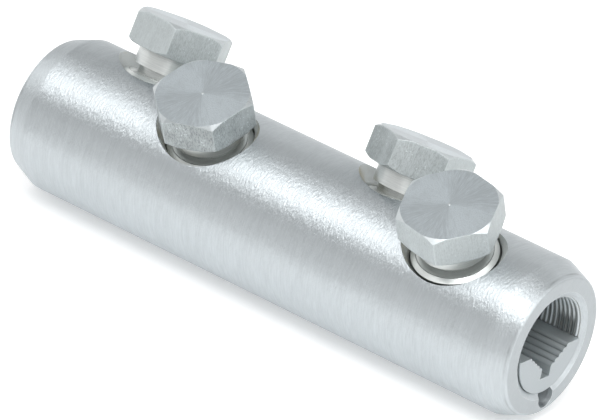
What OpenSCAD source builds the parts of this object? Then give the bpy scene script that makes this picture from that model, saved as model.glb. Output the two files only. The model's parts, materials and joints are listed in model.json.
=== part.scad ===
// Shear bolt connector: an inline sleeve that joins two conductors end to end.
// The origin is the centre of the left socket's mouth, X runs along the sleeve,
// and Z points midway between the two rows of bolts.

/* [Sleeve] */
// Length of the sleeve
sleeve_l = 126.5; // [110:0.5:180]
// Outside diameter of the sleeve
sleeve_d = 33; // [31:0.5:40]
// Diameter of each conductor socket
bore_d = 20.3; // [18:0.1:22]
// Thickness of the solid stop between the two sockets
stop_t = 3; // [1.5:0.5:8]
// Length of the taper at each end
taper_l = 5.2; // [2:0.1:8]
// How much the taper takes off the radius
taper_drop = 2; // [0.5:0.1:2.5]
// Radius that rounds the end face into the taper
rim_r = 0.8; // [0.2:0.1:1.5]
// Depth of the chamfer in each socket's mouth
mouth_l = 0.8; // [0.3:0.1:2]
// How much that chamfer widens the socket's radius
mouth_step = 1.2; // [0.3:0.1:1.5]

/* [End notch] */
// Diameter of the round notch below each mouth
notch_d = 4.6; // [2:0.1:5]
// How far the notch's centre lies outside the socket wall
notch_out = 1.3; // [0.5:0.1:1.4]
// Depth of the notch from the end face
notch_l = 7; // [2:0.5:15]
// How far round from the lowest line the notch sits
notch_turn = 4; // [-15:1:15]

/* [Bolt places] */
// Angle of each row of bolts from the vertical
row_angle = 22.5; // [20:0.5:28]
// From each end face to its outer bolt
end_to_bolt = 22.25; // [20:0.25:26]
// Along the sleeve between the two bolts of a pair
pair_pitch = 20.35; // [19.5:0.05:22]
// Half angle of the countersink round each bolt hole
sink_angle = 31; // [20:1:45]
// Depth of the countersink below the sleeve's crest
sink_l = 3.2; // [1:0.1:4]
// Depth of the left rear bolt's shoulder below the crest
depth_left_rear = 2.8; // [1.5:0.05:4.5]
// Depth of the left front bolt's shoulder below the crest
depth_left_front = 4.5; // [1.5:0.05:4.5]
// Depth of the right rear bolt's shoulder below the crest
depth_right_rear = 3.75; // [1.5:0.05:4.5]
// Depth of the right front bolt's shoulder below the crest
depth_right_front = 2.8; // [1.5:0.05:4.5]
// How far the left rear bolt's hexagon is turned
turn_left_rear = 53; // [0:1:60]
// How far the left front bolt's hexagon is turned
turn_left_front = 19; // [0:1:60]
// How far the right rear bolt's hexagon is turned
turn_right_rear = 29; // [0:1:60]
// How far the right front bolt's hexagon is turned
turn_right_front = 50; // [0:1:60]

/* [Shear bolt] */
// Outside diameter of the thread
thread_d = 18; // [16:0.1:19]
// Radial clearance of the shank in its hole
thread_gap = 0.08; // [0.02:0.01:0.1]
// Length of the threaded shank
shank_l = 8.7; // [6:0.1:9]
// Chamfer at both ends of the shank
shank_chamfer = 0.5; // [0.2:0.1:1.2]
// Width of the head across its flats
head_af = 18.5; // [16:0.1:19]
// Height of the head
head_h = 6.9; // [5:0.1:9]
// How far the head's chamfers stay outside the flats
head_face_out = 0.3; // [0:0.05:0.6]
// Angle of the head's chamfers
head_chamfer_angle = 33; // [20:1:45]
// Diameter of the turned pip on the head
pip_d = 0.9; // [0.4:0.1:2]
// Height of the pip
pip_h = 0.2; // [0.1:0.05:0.5]
// Diameter of the neck under the head
neck_d = 14.5; // [12.5:0.1:15]
// Length of the neck
neck_l = 3.7; // [2:0.1:5]
// Diameter of the groove where the bolt shears
shear_d = 11.6; // [9:0.1:12]
// Width of that groove
shear_w = 1.75; // [1:0.05:2.5]
// Diameter of the raised step inside the shoulder
step_d = 14; // [12.5:0.1:14.5]
// Height of the step, which the shoulder slopes up to
step_h = 0.65; // [0.2:0.05:1]
// Width of the fine groove round the step
ring_groove_w = 0.35; // [0.2:0.05:0.6]
// Depth of the fine groove
ring_groove_l = 0.3; // [0.1:0.05:0.6]

/* [Socket liner] */
// Radial clearance of the liner in its socket
liner_gap = 0.1; // [0.05:0.05:0.3]
// How far the liner's end lies inside the end face
liner_inset = 0.3; // [0:0.1:2]
// Gap between the liner and the stop
liner_end_gap = 0.3; // [0.1:0.1:1]
// How far each liner leans round in its socket
liner_turn = -3; // [-6:1:6]
// How far the liner's two shelves lie below the axis
shelf_drop = 1.1; // [0.8:0.1:2]
// Half width of the vee at the shelves
vee_top = 7; // [5.5:0.1:7.5]
// Half width of the channel below the vee
channel_half = 1.5; // [0.8:0.1:2]
// Depth of the vee below the shelves
vee_l = 4.1; // [3:0.1:4.5]
// Depth of the channel below the vee
channel_l = 1.7; // [0.5:0.1:2]
// Number of rounded ridges on each side of the vee
ridge_count = 5; // [3:1:7]
// How far each ridge stands out of the vee
ridge_h = 0.45; // [0.2:0.05:0.6]

/* [Hidden] */
$fn = 96;
eps = 0.01;
// How far a cutter reaches past the face that it cuts
over = 1;
sleeve_r = sleeve_d / 2;
bore_r = bore_d / 2;
thread_r = thread_d / 2;
hole_r = thread_r + thread_gap;
socket_l = (sleeve_l - stop_t) / 2;
rim_steps = 8;
sleeve_color = [0.80, 0.81, 0.82];
bolt_color = [0.72, 0.73, 0.73];
liner_color = [0.66, 0.67, 0.68];
// Each bolt: distance from the left mouth, side of its row, shoulder depth, hexagon turn
left_rear = [end_to_bolt, 1, depth_left_rear, turn_left_rear];
left_front = [end_to_bolt + pair_pitch, -1, depth_left_front, turn_left_front];
right_rear = [sleeve_l - end_to_bolt - pair_pitch, 1, depth_right_rear, turn_right_rear];
right_front = [sleeve_l - end_to_bolt, -1, depth_right_front, turn_right_front];
bolt_places = [left_rear, left_front, right_rear, right_front];

function unit(v) = v / norm(v);

// Points of an arc of radius r that rounds the corner b between a and c
function rounded(a, b, c, r, n) =
    let (u = unit(a - b), v = unit(c - b),
         half = acos(u * v) / 2,
         o = b + unit(u + v) * r / sin(half),
         s = b + u * r / tan(half) - o,
         e = b + v * r / tan(half) - o,
         a0 = atan2(s.y, s.x),
         turn = atan2(s.x * e.y - s.y * e.x, s * e))
    [for (i = [0:n]) o + r * [cos(a0 + turn * i / n), sin(a0 + turn * i / n)]];

// Puts a shape made along Z on the sleeve's axis, starting at the left mouth
module along_sleeve() {
    rotate([0, 90, 0]) children();
}

// Repeats a shape at the left socket and, turned end for end, at the right one
module at_both_ends() {
    children();
    translate([sleeve_l, 0, 0]) mirror([1, 0, 0]) children();
}

// Puts a shape made along Z on a bolt's own axis, with the sleeve's axis at its origin
module on_bolt_axis(place) {
    translate([place[0], 0, 0]) rotate([-place[1] * row_angle, 0, 0]) children();
}

// Outside of the sleeve, turned from bar, tapered and rounded at both ends
module sleeve_outside() {
    face_r = sleeve_r - taper_drop;
    left = rounded([0, 0], [face_r, 0], [sleeve_r, taper_l], rim_r, rim_steps);
    right = [for (i = [len(left) - 1:-1:0]) [left[i].x, sleeve_l - left[i].y]];
    along_sleeve() rotate_extrude()
        polygon(concat([[0, 0]], left, [[sleeve_r, taper_l], [sleeve_r, sleeve_l - taper_l]],
                       right, [[0, sleeve_l]]));
}

// One conductor socket with its chamfered mouth
module socket() {
    along_sleeve() rotate_extrude()
        polygon([[0, -over], [bore_r + mouth_step, -over], [bore_r + mouth_step, 0],
                 [bore_r, mouth_l], [bore_r, socket_l], [0, socket_l]]);
}

// Round notch in the wall below a mouth
module end_notch() {
    rotate([notch_turn, 0, 0]) translate([-over, 0, -bore_r - notch_out])
        along_sleeve() cylinder(d = notch_d, h = notch_l + over);
}

// Hole for one bolt, from the socket out through its countersink
module bolt_hole() {
    sink_reach = sink_l + over;
    cylinder(r = hole_r, h = sleeve_r + over);
    translate([0, 0, sleeve_r - sink_l])
        cylinder(r1 = hole_r, r2 = hole_r + sink_reach * tan(sink_angle), h = sink_reach);
}

module sleeve() {
    color(sleeve_color) difference() {
        sleeve_outside();
        at_both_ends() {
            socket();
            end_notch();
        }
        for (place = bolt_places) on_bolt_axis(place) bolt_hole();
    }
}

// Section of the liner: a crescent with a ridged vee and a channel at its foot
module liner_section() {
    slope = unit([channel_half - vee_top, -vee_l]);
    outward = [-slope.y, slope.x];
    flank_l = norm([vee_top - channel_half, vee_l]);
    pitch = flank_l / ridge_count;
    ridge_r = (pow(pitch / 2, 2) + pow(ridge_h, 2)) / (2 * ridge_h);
    difference() {
        circle(r = bore_r - liner_gap);
        translate([-bore_r, -shelf_drop]) square([2 * bore_r, 2 * bore_r]);
        difference() {
            polygon([[-vee_top, -shelf_drop + eps], [vee_top, -shelf_drop + eps],
                     [vee_top, -shelf_drop], [channel_half, -shelf_drop - vee_l],
                     [-channel_half, -shelf_drop - vee_l], [-vee_top, -shelf_drop]]);
            for (side = [-1, 1], i = [0.5:ridge_count]) {
                foot = [vee_top, -shelf_drop] + slope * pitch * i + outward * (ridge_r - ridge_h);
                translate([side * foot.x, foot.y]) circle(r = ridge_r);
            }
        }
        translate([-channel_half, -shelf_drop - vee_l - channel_l])
            square([2 * channel_half, channel_l + eps]);
    }
}

// One liner, lying in the lower half of its socket
module liner() {
    color(liner_color) translate([liner_inset, 0, 0]) rotate([liner_turn, 0, 0])
        rotate([90, 0, 90]) linear_extrude(socket_l - liner_inset - liner_end_gap) liner_section();
}

module left_liner() {
    liner();
}

module right_liner() {
    translate([sleeve_l, 0, 0]) mirror([1, 0, 0]) liner();
}

// Turned part of a bolt: shank, sloping shoulder, step, shear groove and neck. Zero lies
// about halfway up the slope.
module bolt_shank() {
    groove_r = step_d / 2 + ring_groove_w;
    neck_z = step_h + shear_w;
    rotate_extrude()
        polygon([[0, -shank_l], [thread_r - shank_chamfer, -shank_l],
                 [thread_r, shank_chamfer - shank_l], [thread_r, -shank_chamfer],
                 [groove_r, step_h], [groove_r, step_h - ring_groove_l],
                 [step_d / 2, step_h - ring_groove_l], [step_d / 2, step_h], [shear_d / 2, step_h],
                 [shear_d / 2, neck_z], [neck_d / 2, neck_z], [neck_d / 2, neck_z + neck_l + eps],
                 [0, neck_z + neck_l + eps]]);
}

// Hexagonal head, chamfered at its top and bottom, with the pip left by turning
module bolt_head() {
    face_r = head_af / 2 + head_face_out;
    corner_r = head_af / 2 / cos(30);
    chamfer_h = (corner_r - face_r) * tan(head_chamfer_angle);
    intersection() {
        cylinder(r = corner_r, h = head_h, $fn = 6);
        rotate_extrude()
            polygon([[0, 0], [face_r, 0], [corner_r, chamfer_h],
                     [corner_r, head_h - chamfer_h], [face_r, head_h], [0, head_h]]);
    }
    translate([0, 0, head_h - eps]) cylinder(d = pip_d, h = pip_h + eps);
}

// One shear bolt in its hole
module bolt(place) {
    color(bolt_color) on_bolt_axis(place) translate([0, 0, sleeve_r - place[2]]) {
        bolt_shank();
        translate([0, 0, step_h + shear_w + neck_l]) rotate([0, 0, place[3]]) bolt_head();
    }
}

module left_rear_bolt() {
    bolt(left_rear);
}

module left_front_bolt() {
    bolt(left_front);
}

module right_rear_bolt() {
    bolt(right_rear);
}

module right_front_bolt() {
    bolt(right_front);
}

sleeve();
left_liner();
right_liner();
left_rear_bolt();
left_front_bolt();
right_rear_bolt();
right_front_bolt();
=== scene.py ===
"""Looks of a shear bolt connector: a turned aluminium sleeve with four hexagon-headed
shear bolts, on a white table under two soft lamps, with cards for the metal to reflect."""

import json
import math

import bmesh
import bpy
from mathutils import Matrix, Vector


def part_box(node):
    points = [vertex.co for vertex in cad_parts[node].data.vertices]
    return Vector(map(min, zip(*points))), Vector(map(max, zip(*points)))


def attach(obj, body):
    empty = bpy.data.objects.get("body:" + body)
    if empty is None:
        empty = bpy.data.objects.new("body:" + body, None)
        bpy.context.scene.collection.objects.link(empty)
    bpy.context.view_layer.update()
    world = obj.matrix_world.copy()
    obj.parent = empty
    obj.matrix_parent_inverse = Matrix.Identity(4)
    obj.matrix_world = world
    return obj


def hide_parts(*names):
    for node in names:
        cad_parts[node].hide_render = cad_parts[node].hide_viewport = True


bl_info = {
    "name": "Shear bolt connector",
    "version": (1, 0, 0),
    "blender": (4, 5, 0),
    "location": "3D View > Sidebar > Connector",
    "description": "Builds the finishes, bolts, threads and bore grooves of the connector",
    "category": "Object",
}

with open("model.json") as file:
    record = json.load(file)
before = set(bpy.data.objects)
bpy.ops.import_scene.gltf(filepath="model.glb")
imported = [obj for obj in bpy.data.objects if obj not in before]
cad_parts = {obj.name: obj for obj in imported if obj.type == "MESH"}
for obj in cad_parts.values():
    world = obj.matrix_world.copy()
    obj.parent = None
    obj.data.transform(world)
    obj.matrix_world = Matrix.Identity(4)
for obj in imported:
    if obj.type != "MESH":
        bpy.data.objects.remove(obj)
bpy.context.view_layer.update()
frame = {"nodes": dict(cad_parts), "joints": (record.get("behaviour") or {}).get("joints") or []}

MM = 0.001
# The most that a length can be set to
LARGEST_SIZE = 200 * MM
# Steps round a bolt, round each turn of its thread, and round a bore
BOLT_STEPS = 96
THREAD_STEPS = 72
BORE_STEPS = 128
# Turn from one side of a hexagon to the next
SIDE_TURN = math.tau / 6
# Points closer than this are one
SAME_POINT = 1e-7
# Nothing on a bolt is grubby this close to its axis
PIP_ZONE = 1 * MM
TABLE_SIZE = 8
SLEEVE_LOW, SLEEVE_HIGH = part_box("sleeve")
SLEEVE_L = SLEEVE_HIGH.x
SLEEVE_R = SLEEVE_HIGH.z
MIDDLE = Vector((SLEEVE_L / 2, 0, 0))
ALONG = Vector((1, 0, 0))
UP = Vector((0, 0, 1))

# The camera that the photograph was taken with, in the part's frame
CAMERA_PLACE = Vector((652.19, -869.07, 521.17)) * MM
CAMERA_RIGHT = Vector((0.77862, 0.61149, 0.14083))
CAMERA_UP = Vector((-0.37522, 0.27383, 0.88557))
CAMERA_BACK = Vector((0.50295, -0.74236, 0.44265))
CAMERA_LENS = 354.66

# Turn in degrees of each ridge's section, so that its narrow side points away from the metal
THREAD_PROFILE_TURN = -90
BORE_PROFILE_TURN = 90

# How grubby the drawn skin of each head is, from clean to dull, and the side, in degrees
# round the bolt from the sleeve's X, where it is the grubbiest
WEAR = {
    "left_rear_bolt": (0.42, 353),
    "left_front_bolt": (1.0, 300),
    "right_rear_bolt": (0.5, 260),
    "right_front_bolt": (0.15, 320),
}

# Cards for the metal alone to see: the two angles that each spans round the sleeve, in
# degrees up from the front, its distance, brightness, width, and place along the sleeve
CARDS = {
    "near_card": (-12, 20, 0.065, 0.90, 0.3, 0.0),
    "front_card": (12, 40, 0.45, 0.50, 0.6, 0.0),
    "glow_card": (78, 91, 0.46, 1.35, 0.52, 0.0),
    "shade_card": (74, 130, 0.44, 0.52, 0.15, 0.345),
    "upper_card": (92, 128, 0.45, 0.57, 0.6, 0.0),
    "back_card": (128, 165, 0.45, 0.88, 0.6, 0.0),
    "rear_card": (165, 214, 0.45, 0.95, 0.6, 0.0),
}

# The bright card that the right mouth reflects
MOUTH_CARD_SIDE = Vector((0.95, 0.07, 0.24))
MOUTH_CARD_DISTANCE = 0.3
MOUTH_CARD_LEVEL = 2.4


def linear(colour):
    """Turns an sRGB hex colour into the linear one that shaders use."""
    parts = [int(colour[i:i + 2], 16) / 255 for i in (1, 3, 5)]
    curved = [c / 12.92 if c <= 0.04045 else ((c + 0.055) / 1.055) ** 2.4 for c in parts]
    return (*curved, 1.0)


def size(name, description, millimetres):
    """A length that a user may change, kept in metres."""
    return bpy.props.FloatProperty(
        name=name, description=description, default=millimetres * MM,
        min=0, max=LARGEST_SIZE, precision=5, subtype="DISTANCE", unit="LENGTH")


def angle(name, description, degrees):
    """An angle that a user may change."""
    return bpy.props.FloatProperty(
        name=name, description=description, default=math.radians(degrees),
        min=0, max=1, subtype="ANGLE", unit="ROTATION")


def strength(name, description, value):
    """A power or brightness that a user may change."""
    return bpy.props.FloatProperty(name=name, description=description, default=value, min=0)


def shade(name, description, colour):
    """A colour that a user may change."""
    return bpy.props.FloatVectorProperty(
        name=name, description=description, default=linear(colour),
        size=4, min=0, max=1, subtype="COLOR")


class SleeveLook(bpy.types.PropertyGroup):
    """Sizes and colours of the sleeve and its two liners."""

    bore_d: size("Bore", "Diameter of each conductor socket", 20.3)
    groove_pitch: size("Groove pitch", "Along the bore between two serrations", 1.05)
    groove_h: size("Groove height", "How far a serration stands into the bore", 0.36)
    groove_start: size("First groove", "From each mouth to the first serration", 1.3)
    shelf_z: size("Liner shelf", "Height under the axis where the serrations stop", 1.05)
    shelf_lean: angle("Liner lean", "How far the liners lean round in their sockets", 3)
    lip_l: size("Lip", "From each end to the line where the rim's rounding ends", 0.75)
    taper_l: size("Taper", "Length of the tapered ends", 5.2)
    stop_t: size("Stop", "Thickness of the solid stop between the sockets", 3)
    hole_d: size("Bolt holes", "Diameter of the threaded holes", 18.16)
    hole_clear: size("Groove ends", "How far the serrations stop short of a hole", 0.25)
    turned: shade("Turned", "Satin turned outside of the sleeve", "#c8ced1")
    turned_dark: shade("Turned, duller", "Duller streaks in the turned outside", "#b4babd")
    cut: shade("Cut", "Cut walls of the bore and the holes", "#d3d7d6")
    grease: shade("Grease", "Thread grease left on the countersinks", "#b9b49e")
    # Partly real wear and partly a painted highlight: the near-white colour painted on the broken edges
    bare_edge_highlight: shade("Bare", "Edges rubbed bare", "#f2f5f5")
    drawn: shade("Liner", "Drawn and sawn faces of the liners", "#c6cdd0")
    # Painted shade: the dark colour painted into the corners of the sockets and just inside their
    # mouths, where shade falls
    recess_shade: shade("Dust", "Metal dust in the corners of the sockets", "#4c5252")


class BoltLook(bpy.types.PropertyGroup):
    """Sizes and colours of the four shear bolts."""

    thread_d: size("Thread", "Outside diameter of the thread", 18)
    thread_pitch: size("Pitch", "Pitch of the thread", 1.5)
    thread_h: size("Thread depth", "Depth of the thread", 0.82)
    shank_l: size("Shank", "Length of the threaded shank", 8.7)
    plain_l: size("Plain end", "Unthreaded length below the shoulder", 1.1)
    plain_d: size("Plain end width", "Diameter of that plain end", 17.4)
    plain_drop: size("Plain end drop", "How far under the shoulder's middle its chamfer starts", 0.05)
    shoulder_d: size("Shoulder", "Diameter where that chamfer ends", 15.5)
    shoulder_rise: size("Shoulder rise", "How far the step rises inside the chamfer", 0.1)
    chamfer: size("Chamfer", "Chamfer at both ends of the shank", 0.5)
    head_af: size("Across flats", "Width of the head across its flats", 18.5)
    head_h: size("Head height", "Height of the head", 6.9)
    face_out: size("Chamfer start", "How far the chamfers stay outside the flats", 0.3)
    pip_d: size("Pip", "Diameter of the pip left by turning", 0.9)
    pip_h: size("Pip height", "Height of that pip", 0.2)
    neck_d: size("Neck", "Diameter of the neck under the head", 14.5)
    neck_l: size("Neck length", "Length of the neck", 3.7)
    collar_d: size("Collar", "Diameter of the short collar under the head", 15.1)
    collar_l: size("Collar length", "Length of that collar", 0.55)
    shear_d: size("Shear groove", "Diameter of the groove where the bolt shears", 11.6)
    shear_w: size("Shear width", "Width of that groove", 1.75)
    step_d: size("Step", "Diameter of the step inside the shoulder", 14)
    step_h: size("Step height", "Height of that step, which the shoulder slopes up to", 0.65)
    ring_w: size("Ring groove", "Width of the fine groove round the step", 0.2)
    ring_l: size("Ring depth", "Depth of the fine groove", 0.14)
    edge: size("Edge", "Width of the broken edges", 0.14)
    chamfer_angle: angle("Chamfer angle", "Angle of the head's chamfers", 33)
    faced: shade("Faced", "Turned top of the head", "#c0c8cc")
    # Partly a painted highlight: the chamfers are painted lighter than the faced top
    chamfered: shade("Chamfer", "Turned chamfers of the head", "#ccd2d4")
    flats: shade("Flats", "Drawn flats of the hexagon", "#c2c9ca")
    neck: shade("Neck", "Turned neck", "#e0e3e1")
    shoulder: shade("Shoulder", "Turned shoulder and step", "#e2e6e4")
    thread: shade("Thread", "Rolled thread", "#b4bbbc")
    # Painted shade: the dark colour that the neck's shear groove and recesses are painted, where shade
    # falls
    groove_shade: shade("Oil", "Dark oil left in the shear groove", "#4e5352")


class StageLook(bpy.types.PropertyGroup):
    """Light and ground of the view."""

    table: shade("Table", "Colour of the table", "#f7f7f7")
    lamp_power: strength("Lamp", "Power of the large lamp in watts", 1.8)
    upper_power: strength("Upper lamp", "Power of the lamp overhead in watts", 0.5)
    room: strength("Room", "Brightness of the white room", 0.68)


def put(tree, kind, out=0, inputs=None, **settings):
    """Adds one node with its settings and inputs, and returns the output asked for."""
    made = tree.nodes.new(kind)
    for name, value in settings.items():
        setattr(made, name, value)
    for key, value in (inputs or {}).items():
        if isinstance(value, bpy.types.NodeSocket):
            tree.links.new(value, made.inputs[key])
        else:
            made.inputs[key].default_value = value
    return made if out is None else made.outputs[out]


def sums(tree, operation, a, b=0.0, c=0.0):
    """One sum on numbers in a node tree."""
    return put(tree, "ShaderNodeMath", inputs={0: a, 1: b, 2: c}, operation=operation)


def times(tree, first, *others):
    """The product of several numbers."""
    for other in others:
        first = sums(tree, "MULTIPLY", first, other)
    return first


def less(tree, whole, value):
    """A whole less a value."""
    return sums(tree, "SUBTRACT", whole, value)


def gap(tree, a, b):
    """How far two numbers lie apart."""
    return sums(tree, "ABSOLUTE", less(tree, a, b))


def vectors(tree, operation, a, b=(0, 0, 0), out=0):
    """One sum on vectors in a node tree. Output 1 holds sums that give a number."""
    return put(tree, "ShaderNodeVectorMath", out, {0: a, 1: b}, operation=operation)


def scaled(tree, value, factor, plus):
    """A number times a factor, plus another."""
    return sums(tree, "MULTIPLY_ADD", value, factor, plus)


def split(tree, vector):
    """A vector's X, Y and Z, by name."""
    return put(tree, "ShaderNodeSeparateXYZ", None, {0: vector}).outputs


def object_place(tree):
    """The point's place in the part's frame, in which every piece is built."""
    return put(tree, "ShaderNodeTexCoord", 3)


def facing(tree):
    """The way that the surface faces."""
    return put(tree, "ShaderNodeNewGeometry", 1)


def rounded(tree, radius, samples=6):
    """The way that the surface would face with its edges rounded by so many millimetres."""
    return put(tree, "ShaderNodeBevel", inputs={"Radius": radius * MM}, samples=samples)


def placed(x_axis, y_axis, z_axis, origin):
    """A frame with these three axes, at this place."""
    return Matrix.Translation(origin) @ Matrix((x_axis, y_axis, z_axis)).transposed().to_4x4()


def keep(mesh, name, body, stands_for=None):
    """Puts a finished mesh in the scene as a piece that rides on a body."""
    piece = bpy.data.objects.new(name, mesh)
    bpy.context.scene.collection.objects.link(piece)
    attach(piece, body)
    if stands_for:
        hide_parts(stands_for)


def evaluated_mesh(mesh, name, prepare):
    """Runs the modifiers that prepare() adds to a mesh, and returns the plain result."""
    draft = bpy.data.objects.new(name, mesh)
    bpy.context.scene.collection.objects.link(draft)
    prepare(draft)
    graph = bpy.context.evaluated_depsgraph_get()
    result = bpy.data.meshes.new_from_object(draft.evaluated_get(graph))
    bpy.data.objects.remove(draft)
    result.name = name
    return result


def nodes_mesh(name, tree, values):
    """Runs a geometry tree with these inputs and returns its result as a plain mesh."""
    def prepare(draft):
        modifier = draft.modifiers.new(name, "NODES")
        modifier.node_group = tree
        for item in tree.interface.items_tree:
            if item.in_out == "INPUT" and item.name in values:
                modifier[item.identifier] = values[item.name]
    return evaluated_mesh(bpy.data.meshes.new(name + "_start"), name, prepare)


def geometry_tree(name, inputs):
    """An empty geometry tree with named inputs; returns it and its input node's outputs."""
    tree = bpy.data.node_groups.new(name, "GeometryNodeTree")
    tree.interface.new_socket(name="Geometry", in_out="OUTPUT", socket_type="NodeSocketGeometry")
    for label, kind in inputs:
        tree.interface.new_socket(name=label, in_out="INPUT", socket_type="NodeSocket" + kind)
    given = tree.nodes.new("NodeGroupInput")
    return tree, given.outputs


def shader_tree(name):
    """A new material with nothing in it yet; returns it and its tree."""
    material = bpy.data.materials.new(name)
    material.use_nodes = True
    material.node_tree.nodes.clear()
    return material, material.node_tree


def finish_material(material, surface):
    """Gives a material its surface and returns it."""
    put(material.node_tree, "ShaderNodeOutputMaterial", None, {"Surface": surface})
    return material


def stretched_noise(tree, place, grain, detail=2.0, roughness=0.55):
    """Noise whose grains have these sizes in millimetres along X, Y and Z."""
    stretched = vectors(tree, "MULTIPLY", place, tuple(1 / (length * MM) for length in grain))
    return put(tree, "ShaderNodeTexNoise", inputs={
        "Vector": stretched, "Scale": 1.0, "Detail": detail, "Roughness": roughness})


def toned(colour, factor):
    """A colour made lighter or darker."""
    return [min(1.0, c * factor) for c in colour[:3]] + [1.0]


def band(tree, value, low, high):
    """0 below low, 1 above high, and a smooth step between."""
    return put(tree, "ShaderNodeMapRange", inputs={
        "Value": value, "From Min": low, "From Max": high}, interpolation_type="SMOOTHSTEP")


def blended(tree, amount, a, b, share=None):
    """Colour a turning into colour b, or only this share of the way."""
    if share is not None:
        amount = times(tree, amount, share)
    return put(tree, "ShaderNodeMix", 2, {0: amount, 6: a, 7: b}, data_type="RGBA")


def finish_metal(material, colour, roughness, normal, anisotropic=0.0, tangent=None, metallic=1.0):
    """Makes a material bare metal, with its default IOR, and returns it. Below 1, metallic
    stands for an oxidised, matt skin."""
    tree = material.node_tree
    inputs = {"Base Color": colour, "Metallic": metallic, "Roughness": roughness,
              "Normal": normal, "Anisotropic": anisotropic}
    if tangent:
        inputs["Tangent"] = tangent
    return finish_material(material, put(tree, "ShaderNodeBsdfPrincipled", inputs=inputs))


def relief(tree, height, depth, under=None):
    """Bumps of a depth in millimetres."""
    inputs = {"Strength": 1.0, "Distance": depth * MM, "Height": height}
    if under:
        inputs["Normal"] = under
    return put(tree, "ShaderNodeBump", inputs=inputs)


def turned_sleeve_material(look):
    """Satin turned aluminium. The outside carries short marks round the axis, which
    soften the lamp's reflection and fray its edges; the cut walls are duller, and
    the countersinks keep a film of yellowish thread grease."""
    material, tree = shader_tree("turned satin aluminium sleeve")
    place = object_place(tree)
    parts = split(tree, place)
    across = vectors(tree, "MULTIPLY", place, (0, 1, 1))
    radius = vectors(tree, "LENGTH", across, out=1)
    plain = facing(tree)
    end_face = band(tree, sums(tree, "ABSOLUTE", split(tree, plain)["X"]), 0.80, 0.95)
    end_zone = 8 * MM
    rim_zone = 3 * MM

    # Marks of the turning tool and of the brush, a quarter of a millimetre apart and some
    # millimetres long, then wider streaks, patches, and the grain of the end faces
    fine = stretched_noise(tree, place, (0.24, 3.5, 3.5), 3.0, 0.6)
    hairs = stretched_noise(tree, place, (0.4, 1.3, 1.3), 3.0, 0.65)
    broad = stretched_noise(tree, place, (2.0, 16, 16), 3.0)
    cloud = stretched_noise(tree, place, (9, 9, 9), 3.0)
    faced = stretched_noise(tree, place, (1, 0.9, 0.9), 3.0)

    # Where the point lies: inside a bolt hole or a bore, on a rim, or on a wiped countersink
    from_middle = gap(tree, parts["X"], SLEEVE_L / 2)
    away = sums(tree, "LESS_THAN", from_middle, SLEEVE_L / 2 - end_zone)
    outer = band(tree, radius, SLEEVE_R - 0.2 * MM, SLEEVE_R - 0.05 * MM)
    hole = times(tree, away, less(tree, 1.0, outer),
                 sums(tree, "GREATER_THAN", radius, look.bore_d / 2 + 0.1 * MM))
    bore = sums(tree, "LESS_THAN", radius, look.bore_d / 2 + 0.05 * MM)
    inside = sums(tree, "MAXIMUM", hole, bore)
    from_lip = gap(tree, from_middle, SLEEVE_L / 2 - look.lip_l)
    lip = times(tree, less(tree, 1.0, band(tree, from_lip, 0.05 * MM, 0.28 * MM)),
                sums(tree, "GREATER_THAN", radius, SLEEVE_R - rim_zone),
                band(tree, cloud, 0.38, 0.64))
    wiped = band(tree, parts["X"], SLEEVE_L - 19.5 * MM, SLEEVE_L - 16.5 * MM)
    smear = times(tree, hole, band(tree, cloud, 0.44, 0.62), less(tree, 1.0, wiped))

    streak = band(tree, fine, 0.25, 0.8)
    tone = blended(tree, band(tree, broad, 0.3, 0.75), look.turned, look.turned_dark, 0.22)
    tone = blended(tree, streak, tone, look.turned_dark, 0.5)
    tone = blended(tree, end_face, tone, toned(look.turned, 0.76))
    tone = blended(tree, inside, tone, look.cut)
    tone = blended(tree, bore, tone, toned(look.cut, 0.62))
    tone = blended(tree, lip, tone, toned(look.turned, 0.62), 0.8)
    tone = blended(tree, smear, tone, look.grease, 0.75)

    rough = scaled(tree, streak, 0.06, 0.38)
    rough = scaled(tree, cloud, 0.06, rough)
    rough = scaled(tree, inside, 0.10, rough)
    skin = scaled(tree, inside, -0.5, 1.0)
    drawn_out = scaled(tree, end_face, -0.4, 0.8)

    # The outer edges are broken a little; where the taper starts, the brush rounded them further
    edge = rounded(tree, 0.14)
    wide_edge = rounded(tree, 1.5, 8)
    from_taper = gap(tree, from_middle, SLEEVE_L / 2 - look.taper_l)
    brushed = less(tree, 1.0, band(tree, from_taper, 1.4 * MM, 1.9 * MM))
    edge = put(tree, "ShaderNodeMix", 1, {0: brushed, 4: edge, 5: wide_edge}, data_type="VECTOR")
    # Painted highlight, partly real wear: the broken outer edges are painted near white, except where
    # the taper starts
    bare_edge_highlight = band(tree, vectors(tree, "DISTANCE", edge, plain, 1), 0.10, 0.45)
    bare_edge_highlight = times(tree, bare_edge_highlight, less(tree, 1.0, brushed))
    tone = blended(tree, bare_edge_highlight, tone, look.bare_edge_highlight, 0.7)
    marks = put(tree, "ShaderNodeMix", 0, {0: end_face, 2: fine, 3: faced})
    normal = relief(tree, marks, 0.006, edge)
    normal = relief(tree, hairs, 0.16, normal)
    normal = relief(tree, broad, 0.002, normal)
    # The marks run round the axis, so reflections spread along it, and on the end faces outwards
    tangent = put(tree, "ShaderNodeMix", 1, {0: end_face, 4: (1, 0, 0), 5: across}, data_type="VECTOR")
    return finish_metal(material, tone, rough, normal, drawn_out, tangent, skin)


def corner_recess_shade(tree, reach):
    """1 in corners that close within so many millimetres, where shade falls: the materials paint these
    corners dark, a painted shade.
    """
    open_sky = put(tree, "ShaderNodeAmbientOcclusion", 1, {"Distance": reach * MM}, samples=8)
    return less(tree, 1.0, band(tree, open_sky, 0.25, 0.85))


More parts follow.
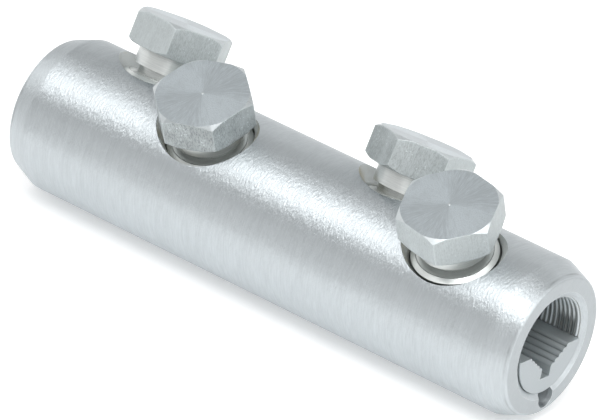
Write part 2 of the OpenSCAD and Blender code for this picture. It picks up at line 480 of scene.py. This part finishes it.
def drawn_liner_material(look):
    """Extruded aluminium with fine die lines along the socket and a sawn end, so the
    ridges read as long soft streaks."""
    material, tree = shader_tree("drawn aluminium liner")
    place = object_place(tree)
    sawn = band(tree, sums(tree, "ABSOLUTE", split(tree, facing(tree))["X"]), 0.8, 0.95)
    lines = stretched_noise(tree, place, (9, 0.22, 0.22), 3.0)
    grain = stretched_noise(tree, place, (0.4, 0.4, 0.4), 3.0)
    tone = blended(tree, band(tree, lines, 0.3, 0.75), look.drawn, look.cut, 0.5)
    tone = blended(tree, sawn, tone, toned(look.drawn, 0.80))
    # Painted shade: the hollows between the ridges are painted darker
    tone = blended(tree, corner_recess_shade(tree, 0.6), tone, look.recess_shade, 0.5)
    edge = rounded(tree, 0.12)
    normal = relief(tree, lines, 0.006, edge)
    normal = relief(tree, grain, 0.006, normal)
    return finish_metal(material, tone, 0.46, normal, metallic=0.8)


def bore_material(look):
    """Bored aluminium: the crests of the serrations shine, and painted shade darkens the hollows
    between them, with patches of painted shade low down over the liner just inside each mouth."""
    material, tree = shader_tree("bored aluminium")
    place = object_place(tree)
    rings = stretched_noise(tree, place, (0.15, 4, 4), 2.0)
    cloud = stretched_noise(tree, place, (2.5, 2.5, 2.5), 3.0)
    tone = blended(tree, band(tree, cloud, 0.45, 0.7), look.drawn, look.cut, 0.5)
    # Painted shade between the serrations
    tone = blended(tree, corner_recess_shade(tree, 0.5), tone, look.recess_shade, 0.6)
    parts = split(tree, place)
    low = less(tree, 1.0, band(tree, parts["Z"], 1.0 * MM, 3.2 * MM))
    from_middle = gap(tree, parts["X"], SLEEVE_L / 2)
    near = times(tree, band(tree, from_middle, SLEEVE_L / 2 - 7.5 * MM, SLEEVE_L / 2 - 5 * MM),
                 sums(tree, "LESS_THAN", from_middle, SLEEVE_L / 2 - 1.6 * MM))
    # Painted shade: dark patches low down in each socket, next to the liner, just inside the mouth
    mouth_shade = times(tree, low, near, band(tree, cloud, 0.30, 0.42))
    tone = blended(tree, mouth_shade, tone, look.recess_shade, 0.9)
    normal = relief(tree, rings, 0.006)
    return finish_metal(material, tone, 0.42, normal, metallic=0.6)


def stored(tree, name, out=1):
    """What store_bolt_places kept on a bolt: its own place, the outward direction from its
    axis, or its wear, a number in output 2."""
    return put(tree, "ShaderNodeAttribute", out, attribute_name="bolt_" + name)


def faced_bolt_material(look):
    """Lathe-faced aluminium. Its fine rings throw the light into a fan of rays round the
    middle; a faint lighter wedge along one fixed side paints the fan's highlight into the colour, so it
    shows in any light."""
    material, tree = shader_tree("faced aluminium bolt head")
    ray_l = 2.4 * MM
    rays_round = 26
    ring_pitch = 0.22 * MM
    fan_highlight_side = (0.97, -0.24, 0)
    own = stored(tree, "place")
    parts = split(tree, own)
    flat = vectors(tree, "MULTIPLY", own, (1, 1, 0))
    radius = vectors(tree, "LENGTH", flat, out=1)
    around = vectors(tree, "NORMALIZE", flat)
    outwards = put(tree, "ShaderNodeCombineXYZ", inputs={2: times(tree, radius, 1 / ray_l)})
    ray_place = vectors(tree, "MULTIPLY", around, (rays_round, rays_round, 0))
    ray_place = vectors(tree, "ADD", ray_place, outwards)
    rays = put(tree, "ShaderNodeTexNoise", inputs={
        "Vector": ray_place, "Scale": 1.0, "Detail": 4.0, "Roughness": 0.7})
    ring_place = put(tree, "ShaderNodeCombineXYZ", inputs={
        0: times(tree, radius, 1 / ring_pitch), 1: parts["X"], 2: parts["Z"]})
    rings = put(tree, "ShaderNodeTexNoise", inputs={
        "Vector": ring_place, "Scale": 1.0, "Detail": 2.0})
    grain = stretched_noise(tree, own, (0.22, 0.22, 0.22), 3.0)
    cloud = stretched_noise(tree, own, (3.5, 3.5, 3.5), 2.0)
    # Painted highlight: the fan's wedge, lighter along one fixed side
    fan_highlight = sums(tree, "ABSOLUTE", vectors(tree, "DOT_PRODUCT", around, fan_highlight_side, 1))
    dark = toned(look.faced, 0.84)
    light = toned(look.faced, 1.14)
    fan = scaled(tree, band(tree, fan_highlight, 0.55, 1.0), 0.26, rays)
    tone = blended(tree, band(tree, fan, 0.32, 0.80), dark, light)
    tone = blended(tree, band(tree, grain, 0.45, 0.70), tone, dark, 0.6)
    tone = blended(tree, band(tree, cloud, 0.45, 0.75), tone, dark, 0.35)
    rough = scaled(tree, rays, 0.08, 0.33)
    normal = relief(tree, rings, 0.004)
    normal = relief(tree, grain, 0.005, normal)
    return finish_metal(material, tone, rough, normal, 0.06, stored(tree, "outward"))


def chamfer_bolt_material(look):
    """Turned chamfers, cut last: smoother than the top, and painted a little lighter than it, partly a
    painted highlight, so that the corners light up as white crescents round it. On a grubby side they
    are dull."""
    material, tree = shader_tree("turned aluminium chamfer")
    grubby = band(tree, stored(tree, "wear", 2), 0.55, 0.95)
    grain = stretched_noise(tree, stored(tree, "place"), (0.4, 0.4, 0.2), 3.0)
    tone = blended(tree, band(tree, grain, 0.4, 0.8), look.chamfered, toned(look.chamfered, 0.88))
    tone = blended(tree, grubby, tone, toned(look.chamfered, 0.72))
    rough = scaled(tree, grubby, 0.36, 0.31)
    normal = relief(tree, grain, 0.004)
    return finish_metal(material, tone, rough, normal, 0.25, stored(tree, "outward"), 0.85)


def flats_bolt_material(look):
    """Drawn hexagon bar: matt flats with a grain along the bar, speckled where the skin is
    grubby, with small white pits, and edges painted lighter, partly worn bare and partly a painted
    highlight."""
    material, tree = shader_tree("drawn aluminium hexagon bar")
    own = stored(tree, "place")
    wear = stored(tree, "wear", 2)
    grain = stretched_noise(tree, own, (0.3, 0.3, 5), 3.0, 0.65)
    speck = stretched_noise(tree, own, (0.2, 0.2, 0.7), 4.0, 0.8)
    cloud = stretched_noise(tree, own, (2.6, 2.6, 3.4), 3.0)
    drift = stretched_noise(tree, own, (9, 9, 14), 1.0)
    pit_place = vectors(tree, "MULTIPLY", own, (1 / (0.75 * MM), 1 / (0.75 * MM), 1 / (0.55 * MM)))
    from_pit = put(tree, "ShaderNodeTexVoronoi", inputs={"Vector": pit_place, "Scale": 1.0})
    pits = times(tree, less(tree, 1.0, band(tree, from_pit, 0.10, 0.34)), band(tree, cloud, 0.53, 0.61),
                 scaled(tree, wear, 0.65, 0.35))
    grubby = times(tree, wear, band(tree, drift, 0.30, 0.52))
    stain = times(tree, grubby, band(tree, cloud, 0.60, 0.42))
    dull_grain = times(tree, band(tree, grain, 0.40, 0.75), scaled(tree, grubby, 0.3, 0.25))
    dark_speck = times(tree, band(tree, speck, 0.47, 0.60), scaled(tree, grubby, 0.55, 0.14))
    edge = rounded(tree, 0.45)
    # Painted highlight, partly real wear: the edges are painted lighter
    worn_edge_highlight = band(tree, vectors(tree, "DISTANCE", edge, facing(tree), 1), 0.02, 0.35)

    tone = blended(tree, grubby, toned(look.flats, 1.04), toned(look.flats, 0.84))
    tone = blended(tree, band(tree, cloud, 0.35, 0.65), tone, toned(look.flats, 0.86), 0.4)
    tone = blended(tree, stain, tone, toned(look.flats, 0.55), 0.5)
    tone = blended(tree, dull_grain, tone, toned(look.flats, 0.66))
    tone = blended(tree, dark_speck, tone, toned(look.flats, 0.30))
    tone = blended(tree, pits, tone, toned(look.flats, 1.35), 0.8)
    tone = blended(tree, worn_edge_highlight, tone, toned(look.flats, 1.35), 0.4)
    rough = scaled(tree, cloud, 0.14, 0.42)
    normal = relief(tree, grain, 0.014, edge)
    normal = relief(tree, speck, 0.016, normal)
    normal = relief(tree, pits, -0.04, normal)
    return finish_metal(material, tone, rough, normal, metallic=0.75)


def neck_bolt_material(look):
    """Turned aluminium of the neck: fine rings round the bolt's axis, which draw the light
    out into upright streaks, and painted shade darkening the shear groove and the other recesses."""
    material, tree = shader_tree("turned aluminium bolt neck")
    rings = stretched_noise(tree, stored(tree, "place"), (4, 4, 0.16))
    tone = blended(tree, band(tree, rings, 0.3, 0.75), look.neck, look.thread, 0.35)
    # Painted shade in the shear groove and under the head
    tone = blended(tree, corner_recess_shade(tree, 1.6), tone, look.groove_shade, 0.7)
    normal = relief(tree, rings, 0.003)
    return finish_metal(material, tone, 0.34, normal, metallic=0.82)


def shoulder_bolt_material(look):
    """Turned shoulder and step, fine and shiny: its slope stays a bright ring in the hole."""
    material, tree = shader_tree("turned aluminium bolt shoulder")
    rings = stretched_noise(tree, stored(tree, "place"), (3, 3, 0.3))
    tone = blended(tree, band(tree, rings, 0.3, 0.75), look.shoulder, look.neck, 0.4)
    normal = relief(tree, rings, 0.004)
    return finish_metal(material, tone, 0.36, normal, 0.5, stored(tree, "outward"), 0.85)


def thread_material(look):
    """Rolled thread: smooth crests and slightly duller flanks."""
    material, tree = shader_tree("rolled aluminium thread")
    grain = stretched_noise(tree, stored(tree, "place"), (0.5, 0.5, 0.2), 3.0)
    tone = blended(tree, band(tree, grain, 0.35, 0.75), look.neck, look.thread)
    normal = relief(tree, grain, 0.006)
    return finish_metal(material, tone, 0.3, normal)


def bolt_frame(joint):
    """From a bolt's own frame, with its shoulder at zero, to the part's frame, and the turn
    of the hexagon round its axis."""
    axis = Vector(joint["axis"]).normalized()
    node = frame["nodes"][joint["child"]]
    low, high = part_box(joint["child"])
    foot = Vector(((low.x + high.x) / 2, 0, 0))
    look = bpy.context.scene.bolt_look
    tallest = max((v.co - foot).dot(axis) for v in node.data.vertices)
    above = look.step_h + look.shear_w + look.neck_l + look.head_h + look.pip_h
    start = foot + axis * (tallest - above)
    place = placed(ALONG, axis.cross(ALONG), axis, start)
    back = place.inverted()
    corner = max((back @ v.co for v in node.data.vertices), key=lambda p: p.xy.length)
    return place, math.atan2(corner.y, corner.x)


def bolt_rings(look):
    """The bolt's outline from tip to pip: radius, height, and the finish above each ring.
    A radius of hex follows the hexagon, with its corners cut by the chamfers, and face
    follows the circle where the chamfers start."""
    core_r = look.thread_d / 2 - look.thread_h
    crest_r = look.thread_d / 2
    shoulder_r = look.shoulder_d / 2
    shoulder_z = look.step_h - look.shoulder_rise
    neck_z = look.step_h + look.shear_w
    head_z = neck_z + look.neck_l
    top = head_z + look.head_h
    runout = crest_r - core_r
    # The pip is worn to a share of the solid's width and height
    pip_r = look.pip_d * 0.3
    pip_top = top + look.pip_h * 0.3
    return [
        (0, -look.shank_l, "neck"),
        (core_r * 0.5, -look.shank_l, "neck"),
        (core_r - look.chamfer, -look.shank_l, "neck"),
        (core_r, look.chamfer - look.shank_l, "thread"),
        (core_r, -look.plain_l - runout, "thread"),
        (crest_r, -look.plain_l, "neck"),
        (look.plain_d / 2, -look.plain_l + 0.2 * runout, "neck"),
        (look.plain_d / 2, -look.plain_drop, "shoulder"),
        (shoulder_r, shoulder_z, "neck"),
        (shoulder_r, shoulder_z - look.ring_l, "neck"),
        (shoulder_r - look.ring_w, shoulder_z - look.ring_l, "neck"),
        (shoulder_r - look.ring_w, shoulder_z, "shoulder"),
        (look.step_d / 2, look.step_h, "neck"),
        (look.shear_d / 2, look.step_h, "neck"),
        (look.shear_d / 2, neck_z, "neck"),
        (look.neck_d / 2, neck_z, "neck"),
        (look.neck_d / 2, head_z - look.collar_l, "neck"),
        (look.collar_d / 2, head_z - look.collar_l, "neck"),
        (look.collar_d / 2, head_z, "faced"),
        ("face", head_z, "chamfer"),
        ("hex", head_z, "flats"),
        ("hex", top, "chamfer"),
        ("face", top, "faced"),
        *[(look.head_af * share, top, "faced") for share in (0.36, 0.22, 0.10)],
        (pip_r, top, "chamfer"),
        (pip_r * 2 / 3, pip_top, "chamfer"),
        (0, pip_top, "chamfer"),
    ]


def bolt_mesh(name, look, turn, finishes):
    """One bolt in its own frame: turned shank and neck, and a chamfered hexagon head."""
    half = look.head_af / 2
    face_r = half + look.face_out
    slope = math.tan(look.chamfer_angle)
    middle = look.step_h + look.shear_w + look.neck_l + look.head_h / 2
    bm = bmesh.new()
    rings = []
    outline = bolt_rings(look)
    for radius, height, finish in outline:
        if radius == 0:
            rings.append([bm.verts.new((0, 0, height))])
            continue
        ring = []
        for i in range(BOLT_STEPS):
            bearing = turn + math.tau * i / BOLT_STEPS
            off = SIDE_TURN / 2 - (math.tau * i / BOLT_STEPS) % SIDE_TURN
            flat = half / math.cos(off)
            r, z = radius, height
            if radius == "face":
                r = min(face_r, flat)
            if radius == "hex":
                r = flat
                cut = max(0.0, flat - face_r) * slope
                z = height - math.copysign(cut, height - middle)
            ring.append(bm.verts.new((r * math.cos(bearing), r * math.sin(bearing), z)))
        rings.append(ring)
    for k in range(len(rings) - 1):
        low, high = rings[k], rings[k + 1]
        slot = finishes.index(outline[k][2])
        for i in range(BOLT_STEPS):
            j = (i + 1) % BOLT_STEPS
            if len(low) == 1:
                corners = (low[0], high[j], high[i])
            elif len(high) == 1:
                corners = (low[i], low[j], high[0])
            else:
                corners = (low[i], low[j], high[j], high[i])
            face = bm.faces.new(corners)
            face.material_index = slot
            face.smooth = True
    bmesh.ops.remove_doubles(bm, verts=bm.verts, dist=SAME_POINT)
    bmesh.ops.recalc_face_normals(bm, faces=bm.faces)
    mesh = bpy.data.meshes.new(name + "_start")
    bm.to_mesh(mesh)
    bm.free()
    return mesh


def side_wear(point, turn, bolt):
    """How grubby the side of the hexagon is that a point belongs to; the pip stays bright."""
    if point.xy.length < PIP_ZONE:
        return 0.0
    amount, worst = WEAR[bolt]
    sides = math.floor((math.atan2(point.y, point.x) - turn) / SIDE_TURN)
    side = turn + (sides + 0.5) * SIDE_TURN
    return amount * math.sqrt(max(0.0, math.cos(side - math.radians(worst))))


def store_bolt_places(mesh, place, turn, bolt):
    """Keeps each point's place on the bolt, its outward direction and its side's wear for
    the materials, then moves the mesh to its place in the part."""
    turned = place.to_3x3()
    kept = {
        "bolt_place": [vertex.co.copy() for vertex in mesh.vertices],
        "bolt_outward": [turned @ Vector((*vertex.co.xy, 0)) for vertex in mesh.vertices],
    }
    for name, rows in kept.items():
        layer = mesh.attributes.new(name, "FLOAT_VECTOR", "POINT")
        layer.data.foreach_set("vector", [part for row in rows for part in row])
    layer = mesh.attributes.new("bolt_wear", "FLOAT", "POINT")
    layer.data.foreach_set("value", [side_wear(vertex.co, turn, bolt) for vertex in mesh.vertices])
    mesh.transform(place)


def swept_ridge(tree, line, depth, pitch, wide, narrow, profile_turn, scale=1.0):
    """A ridge swept along a curve, as deep above it as below. Its wide and its narrow side
    are shares of the pitch."""
    shape = put(tree, "GeometryNodeCurvePrimitiveQuadrilateral", mode="TRAPEZOID", inputs={
        "Height": times(tree, depth, 2.0), "Bottom Width": times(tree, pitch, wide),
        "Top Width": times(tree, pitch, narrow), "Offset": 0.0})
    shape = put(tree, "GeometryNodeTransform", inputs={
        "Geometry": shape, "Rotation": (0, 0, math.radians(profile_turn))})
    return put(tree, "GeometryNodeCurveToMesh", inputs={
        "Curve": line, "Profile Curve": shape, "Fill Caps": True, "Scale": scale})


def finish_geometry(tree, ridges, material):
    """Ends a geometry tree with plain meshes that carry their material."""
    ridges = put(tree, "GeometryNodeRealizeInstances", inputs={0: ridges})
    ridges = put(tree, "GeometryNodeSetMaterial", inputs={"Geometry": ridges, "Material": material})
    put(tree, "NodeGroupOutput", None, {0: ridges})


def thread_tree():
    """A ridge wound round Z as a helix, run out at both ends."""
    tree, given = geometry_tree("thread", [
        ("Core radius", "Float"), ("Depth", "Float"), ("Pitch", "Float"), ("Length", "Float"),
        ("Steps per turn", "Int"), ("Material", "Material")])
    line = put(tree, "GeometryNodeCurveSpiral", inputs={
        "Resolution": given["Steps per turn"],
        "Rotations": sums(tree, "DIVIDE", given["Length"], given["Pitch"]),
        "Start Radius": given["Core radius"], "End Radius": given["Core radius"],
        "Height": given["Length"]})
    line = put(tree, "GeometryNodeSetCurveNormal", inputs={"Curve": line}, mode="Z_UP")
    along = put(tree, "GeometryNodeSplineParameter", 0)
    from_end = sums(tree, "MINIMUM", along, less(tree, 1.0, along))
    grown = put(tree, "ShaderNodeMapRange", inputs={
        "Value": from_end, "From Min": 0.0, "From Max": 0.06, "To Min": 0.05, "To Max": 1.0})
    ridge = swept_ridge(tree, line, given["Depth"], given["Pitch"], 0.86, 0.14,
                        THREAD_PROFILE_TURN, grown)
    finish_geometry(tree, ridge, given["Material"])
    return tree


class CONNECTOR_OT_bolts(bpy.types.Operator):
    """Build the four shear bolts with their faced heads, necks and shoulders"""

    bl_idname = "connector.bolts"
    bl_label = "Shear bolts"

    def execute(self, context):
        look = context.scene.bolt_look
        finishes = {
            "faced": faced_bolt_material(look),
            "chamfer": chamfer_bolt_material(look),
            "flats": flats_bolt_material(look),
            "neck": neck_bolt_material(look),
            "shoulder": shoulder_bolt_material(look),
            "thread": thread_material(look),
        }

        def broken_edges(draft):
            bevel = draft.modifiers.new("broken edges", "BEVEL")
            bevel.width = look.edge
            bevel.segments = 2
            bevel.limit_method = "ANGLE"
            bevel.angle_limit = math.radians(20)
            bevel.harden_normals = True

        for joint in frame["joints"]:
            name = joint["child"]
            place, turn = bolt_frame(joint)
            start = bolt_mesh(name + "_turned", look, turn, list(finishes))
            for material in finishes.values():
                start.materials.append(material)
            mesh = evaluated_mesh(start, name + "_turned", broken_edges)
            store_bolt_places(mesh, place, turn, name)
            keep(mesh, name + "_turned", name, name)
        return {"FINISHED"}


class CONNECTOR_OT_threads(bpy.types.Operator):
    """Wind the thread round each bolt's shank"""

    bl_idname = "connector.threads"
    bl_label = "Bolt threads"

    def execute(self, context):
        look = context.scene.bolt_look
        tree = thread_tree()
        material = thread_material(look)
        sunk = 0.03 * MM
        values = {
            "Core radius": look.thread_d / 2 - look.thread_h, "Depth": look.thread_h - sunk,
            "Pitch": look.thread_pitch, "Length": look.shank_l - look.plain_l - look.thread_pitch,
            "Steps per turn": THREAD_STEPS, "Material": material}
        tip_gap = look.thread_pitch * 0.45
        for joint in frame["joints"]:
            name = joint["child"].replace("_bolt", "_thread")
            place, turn = bolt_frame(joint)
            mesh = nodes_mesh(name, tree, values)
            mesh.transform(Matrix.Translation((0, 0, tip_gap - look.shank_l)))
            store_bolt_places(mesh, place, turn, joint["child"])
            keep(mesh, name, joint["child"])
        return {"FINISHED"}


def bore_tree():
    """Serrations round the upper half of a bore along X, left out where the bolt holes are."""
    tree, given = geometry_tree("bore serrations", [
        ("Radius", "Float"), ("Height", "Float"), ("Pitch", "Float"), ("Count", "Int"),
        ("Start", "Float"), ("Lowest", "Float"), ("Lean", "Float"), ("Hole radius", "Float"),
        ("Hole A", "Vector"), ("Axis A", "Vector"), ("Hole B", "Vector"), ("Axis B", "Vector"),
        ("Material", "Material")])
    ring = put(tree, "GeometryNodeMeshCircle", inputs={
        "Vertices": BORE_STEPS, "Radius": given["Radius"]})
    step = put(tree, "ShaderNodeCombineXYZ", inputs={2: given["Pitch"]})
    first = put(tree, "ShaderNodeCombineXYZ", inputs={2: given["Start"]})
    row = put(tree, "GeometryNodeMeshLine", inputs={
        "Count": given["Count"], "Start Location": first, "Offset": step})
    rings = put(tree, "GeometryNodeInstanceOnPoints", inputs={"Points": row, "Instance": ring})
    rings = put(tree, "GeometryNodeRealizeInstances", inputs={0: rings})
    place = put(tree, "GeometryNodeInputPosition", 0)
    place = put(tree, "ShaderNodeVectorRotate", inputs={
        "Vector": place, "Axis": (0, 1, 0), "Angle": math.radians(90)}, rotation_type="AXIS_ANGLE")
    parts = split(tree, place)
    above = scaled(tree, parts["Y"], given["Lean"], parts["Z"])
    gone = sums(tree, "LESS_THAN", above, given["Lowest"])
    for label in "AB":
        axis = given["Axis " + label]
        away = vectors(tree, "SUBTRACT", place, given["Hole " + label])
        from_axis = vectors(tree, "LENGTH", vectors(tree, "CROSS_PRODUCT", away, axis), out=1)
        up = vectors(tree, "DOT_PRODUCT", away, axis, 1)
        in_hole = times(tree, sums(tree, "LESS_THAN", from_axis, given["Hole radius"]),
                        sums(tree, "GREATER_THAN", up, 0.0))
        gone = sums(tree, "MAXIMUM", gone, in_hole)
    rings = put(tree, "GeometryNodeDeleteGeometry", inputs={"Geometry": rings, "Selection": gone})
    lines = put(tree, "GeometryNodeMeshToCurve", inputs={"Mesh": rings})
    lines = put(tree, "GeometryNodeSetCurveNormal", inputs={"Curve": lines}, mode="Z_UP")
    ribs = swept_ridge(tree, lines, given["Height"], given["Pitch"], 0.9, 0.25, BORE_PROFILE_TURN)
    ribs = put(tree, "GeometryNodeTransform", inputs={
        "Geometry": ribs, "Rotation": (0, math.radians(90), 0)})
    finish_geometry(tree, ribs, given["Material"])
    return tree


class CONNECTOR_OT_sleeve(bpy.types.Operator):
    """Give the sleeve its turned finish and the liners their drawn one"""

    bl_idname = "connector.sleeve"
    bl_label = "Sleeve and liner finishes"

    def execute(self, context):
        look = context.scene.sleeve_look
        turned = turned_sleeve_material(look)
        drawn = drawn_liner_material(look)
        finishes = {"sleeve": turned, "left_liner": drawn, "right_liner": drawn}
        for node, material in finishes.items():
            for slot in frame["nodes"][node].material_slots:
                slot.material = material
        return {"FINISHED"}


class CONNECTOR_OT_bore(bpy.types.Operator):
    """Set the serrations round both conductor sockets"""

    bl_idname = "connector.bore"
    bl_label = "Bore serrations"

    def execute(self, context):
        look = context.scene.sleeve_look
        tree = bore_tree()
        material = bore_material(look)
        socket_l = (SLEEVE_L - look.stop_t) / 2
        count = int((socket_l - 2 * look.groove_start) / look.groove_pitch)
        reach = (count - 1) * look.groove_pitch
        starts = {"left": look.groove_start, "right": SLEEVE_L - look.groove_start - reach}
        for side, start in starts.items():
            values = {
                "Radius": look.bore_d / 2, "Height": look.groove_h, "Pitch": look.groove_pitch,
                "Count": count, "Start": start, "Lowest": -look.shelf_z,
                "Lean": math.tan(look.shelf_lean),
                "Hole radius": look.hole_d / 2 + look.hole_clear, "Material": material}
            holes = [j for j in frame["joints"] if j["child"].startswith(side)]
            for label, joint in zip("AB", holes):
                low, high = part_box(joint["child"])
                values["Hole " + label] = ((low.x + high.x) / 2, 0, 0)
                values["Axis " + label] = tuple(Vector(joint["axis"]).normalized())
            mesh = nodes_mesh(side + "_bore_serrations", tree, values)
            keep(mesh, side + "_bore_serrations", "connector")
        return {"FINISHED"}


def flat_panel(name, middle, front, upward, width, height, material):
    """A flat panel with its front one way."""
    front = front.normalized()
    side = upward.cross(front).normalized()
    upward = front.cross(side)
    corners = [(-1, -1), (1, -1), (1, 1), (-1, 1)]
    mesh = bpy.data.meshes.new(name)
    points = [middle + side * (x * width / 2) + upward * (y * height / 2) for x, y in corners]
    mesh.from_pydata([tuple(p) for p in points], [], [(0, 1, 2, 3)])
    mesh.materials.append(material)
    panel = bpy.data.objects.new(name, mesh)
    bpy.context.scene.collection.objects.link(panel)
    return panel


def seen_ray(tree):
    """1 for what the camera sees, directly or in metal and glass, and 0 for soft light."""
    rays = put(tree, "ShaderNodeLightPath", None).outputs
    return sums(tree, "MAXIMUM", rays["Is Camera Ray"], sums(
        tree, "MAXIMUM", rays["Is Glossy Ray"], rays["Is Transmission Ray"]))


def table_material(look):
    """Smooth white laminate. It takes the shadow, and shows white where nothing shades it."""
    material, tree = shader_tree("white laminate table")
    grain = stretched_noise(tree, object_place(tree), (2, 2, 2))
    paper = put(tree, "ShaderNodeBsdfPrincipled", inputs={
        "Base Color": look.table, "Roughness": 0.8, "Normal": relief(tree, grain, 0.004)})
    glow = put(tree, "ShaderNodeEmission", inputs={
        "Color": (1, 1, 1, 1), "Strength": times(tree, seen_ray(tree), 0.3)})
    return finish_material(material, put(tree, "ShaderNodeAddShader", inputs={0: paper, 1: glow}))


def card_material(name, level):
    """Card that stands between the metal and the white room: darker than the room below a
    level of 1, and a glow in the metal above it."""
    material, tree = shader_tree(name)
    glow = put(tree, "ShaderNodeEmission", inputs={"Color": (level, level, level, 1.0), "Strength": 1.0})
    return finish_material(material, glow)


def cone_direction(degrees):
    """Where the sleeve's side shows the camera its surroundings: up from the front, round X."""
    bearing = math.radians(degrees)
    along = -CAMERA_BACK.x
    across = math.sqrt(1 - along * along)
    return Vector((along, -across * math.cos(bearing), across * math.sin(bearing)))


def metal_only(card):
    """Hides a card from everything but the reflections."""
    card.visible_camera = False
    card.visible_diffuse = False
    card.visible_shadow = False


def stand_card(name, low, high, distance, level, width, along):
    """A card for the metal alone to see, spanning two angles round the sleeve and moved
    along it."""
    towards = cone_direction((low + high) / 2)
    half = math.radians(high - low) / 2
    sideways = Vector((0, towards.y, towards.z))
    height = 2 * sideways.length * distance * math.tan(half)
    middle = MIDDLE + towards * distance + Vector((along, 0, 0))
    metal_only(flat_panel(name, middle, -sideways.normalized(), ALONG, height, width,
                          card_material(name.replace("_", " "), level)))


def add_lamp(name, towards, power, distance, width, height):
    """A soft box that stands towards one side and faces the connector, its width along it."""
    data = bpy.data.lights.new(name, "AREA")
    data.shape = "RECTANGLE"
    data.size = width
    data.size_y = height
    data.energy = power
    lamp = bpy.data.objects.new(name, data)
    bpy.context.scene.collection.objects.link(lamp)
    towards = towards.normalized()
    side = towards.cross(ALONG).normalized()
    along = side.cross(towards)
    lamp.matrix_world = placed(along, side, towards, MIDDLE + towards * distance)


class CONNECTOR_OT_stage(bpy.types.Operator):
    """Set up the camera, the table, the room, the lamps and the cards"""

    bl_idname = "connector.stage"
    bl_label = "Camera, table and light"

    def execute(self, context):
        scene = context.scene
        look = scene.stage_look
        camera = bpy.data.objects.new("camera", bpy.data.cameras.new("camera"))
        scene.collection.objects.link(camera)
        camera.matrix_world = placed(CAMERA_RIGHT, CAMERA_UP, CAMERA_BACK, CAMERA_PLACE)
        camera.data.lens = CAMERA_LENS
        camera.data.sensor_width = 36
        camera.data.sensor_fit = "HORIZONTAL"
        camera.data.clip_start = 0.05
        camera.data.clip_end = 20
        scene.camera = camera
        scene.view_settings.view_transform = "Standard"

        flat_panel("table", Vector((MIDDLE.x, 0, SLEEVE_LOW.z)), UP, Vector((0, 1, 0)),
                   TABLE_SIZE, TABLE_SIZE, table_material(look))
        world = bpy.data.worlds.new("white room")
        world.use_nodes = True
        world.node_tree.nodes.clear()
        tree = world.node_tree
        sky = put(tree, "ShaderNodeBackground", inputs={
            "Color": (1, 1, 1, 1),
            "Strength": scaled(tree, seen_ray(tree), 1 - look.room, look.room)})
        put(tree, "ShaderNodeOutputWorld", None, {"Surface": sky})
        scene.world = world

        add_lamp("large_soft_box", Vector((0.1, -0.51, 0.86)), look.lamp_power,
                 distance=0.6, width=0.7, height=0.29)
        add_lamp("upper_soft_box", Vector((0.5, 0.0, 0.87)), look.upper_power,
                 distance=0.6, width=0.32, height=0.26)
        for name, card in CARDS.items():
            stand_card(name, *card)
        mouth = Vector((SLEEVE_L, 0, 0))
        metal_only(flat_panel(
            "mouth_card", mouth + MOUTH_CARD_SIDE * MOUTH_CARD_DISTANCE, -MOUTH_CARD_SIDE, UP,
            width=0.22, height=0.10, material=card_material("mouth card", MOUTH_CARD_LEVEL)))
        return {"FINISHED"}


class CONNECTOR_PT_panel(bpy.types.Panel):
    """Lists the steps that build the connector's looks"""

    bl_idname = "CONNECTOR_PT_panel"
    bl_label = "Shear bolt connector"
    bl_space_type = "VIEW_3D"
    bl_region_type = "UI"
    bl_category = "Connector"

    def draw(self, context):
        for operator in OPERATORS:
            self.layout.operator(operator.bl_idname)


OPERATORS = (CONNECTOR_OT_stage, CONNECTOR_OT_sleeve, CONNECTOR_OT_bore, CONNECTOR_OT_bolts,
             CONNECTOR_OT_threads)
GROUPS = {"sleeve_look": SleeveLook, "bolt_look": BoltLook, "stage_look": StageLook}


def register():
    for group in GROUPS.values():
        bpy.utils.register_class(group)
    for operator in OPERATORS:
        bpy.utils.register_class(operator)
    bpy.utils.register_class(CONNECTOR_PT_panel)
    for name, group in GROUPS.items():
        setattr(bpy.types.Scene, name, bpy.props.PointerProperty(type=group))


def unregister():
    for name in GROUPS:
        delattr(bpy.types.Scene, name)
    bpy.utils.unregister_class(CONNECTOR_PT_panel)
    for operator in reversed(OPERATORS):
        bpy.utils.unregister_class(operator)
    for group in reversed(GROUPS.values()):
        bpy.utils.unregister_class(group)


def main():
    register()
    bpy.ops.connector.stage()
    bpy.ops.connector.sleeve()
    bpy.ops.connector.bore()
    bpy.ops.connector.bolts()
    bpy.ops.connector.threads()


if __name__ == "__main__":
    main()
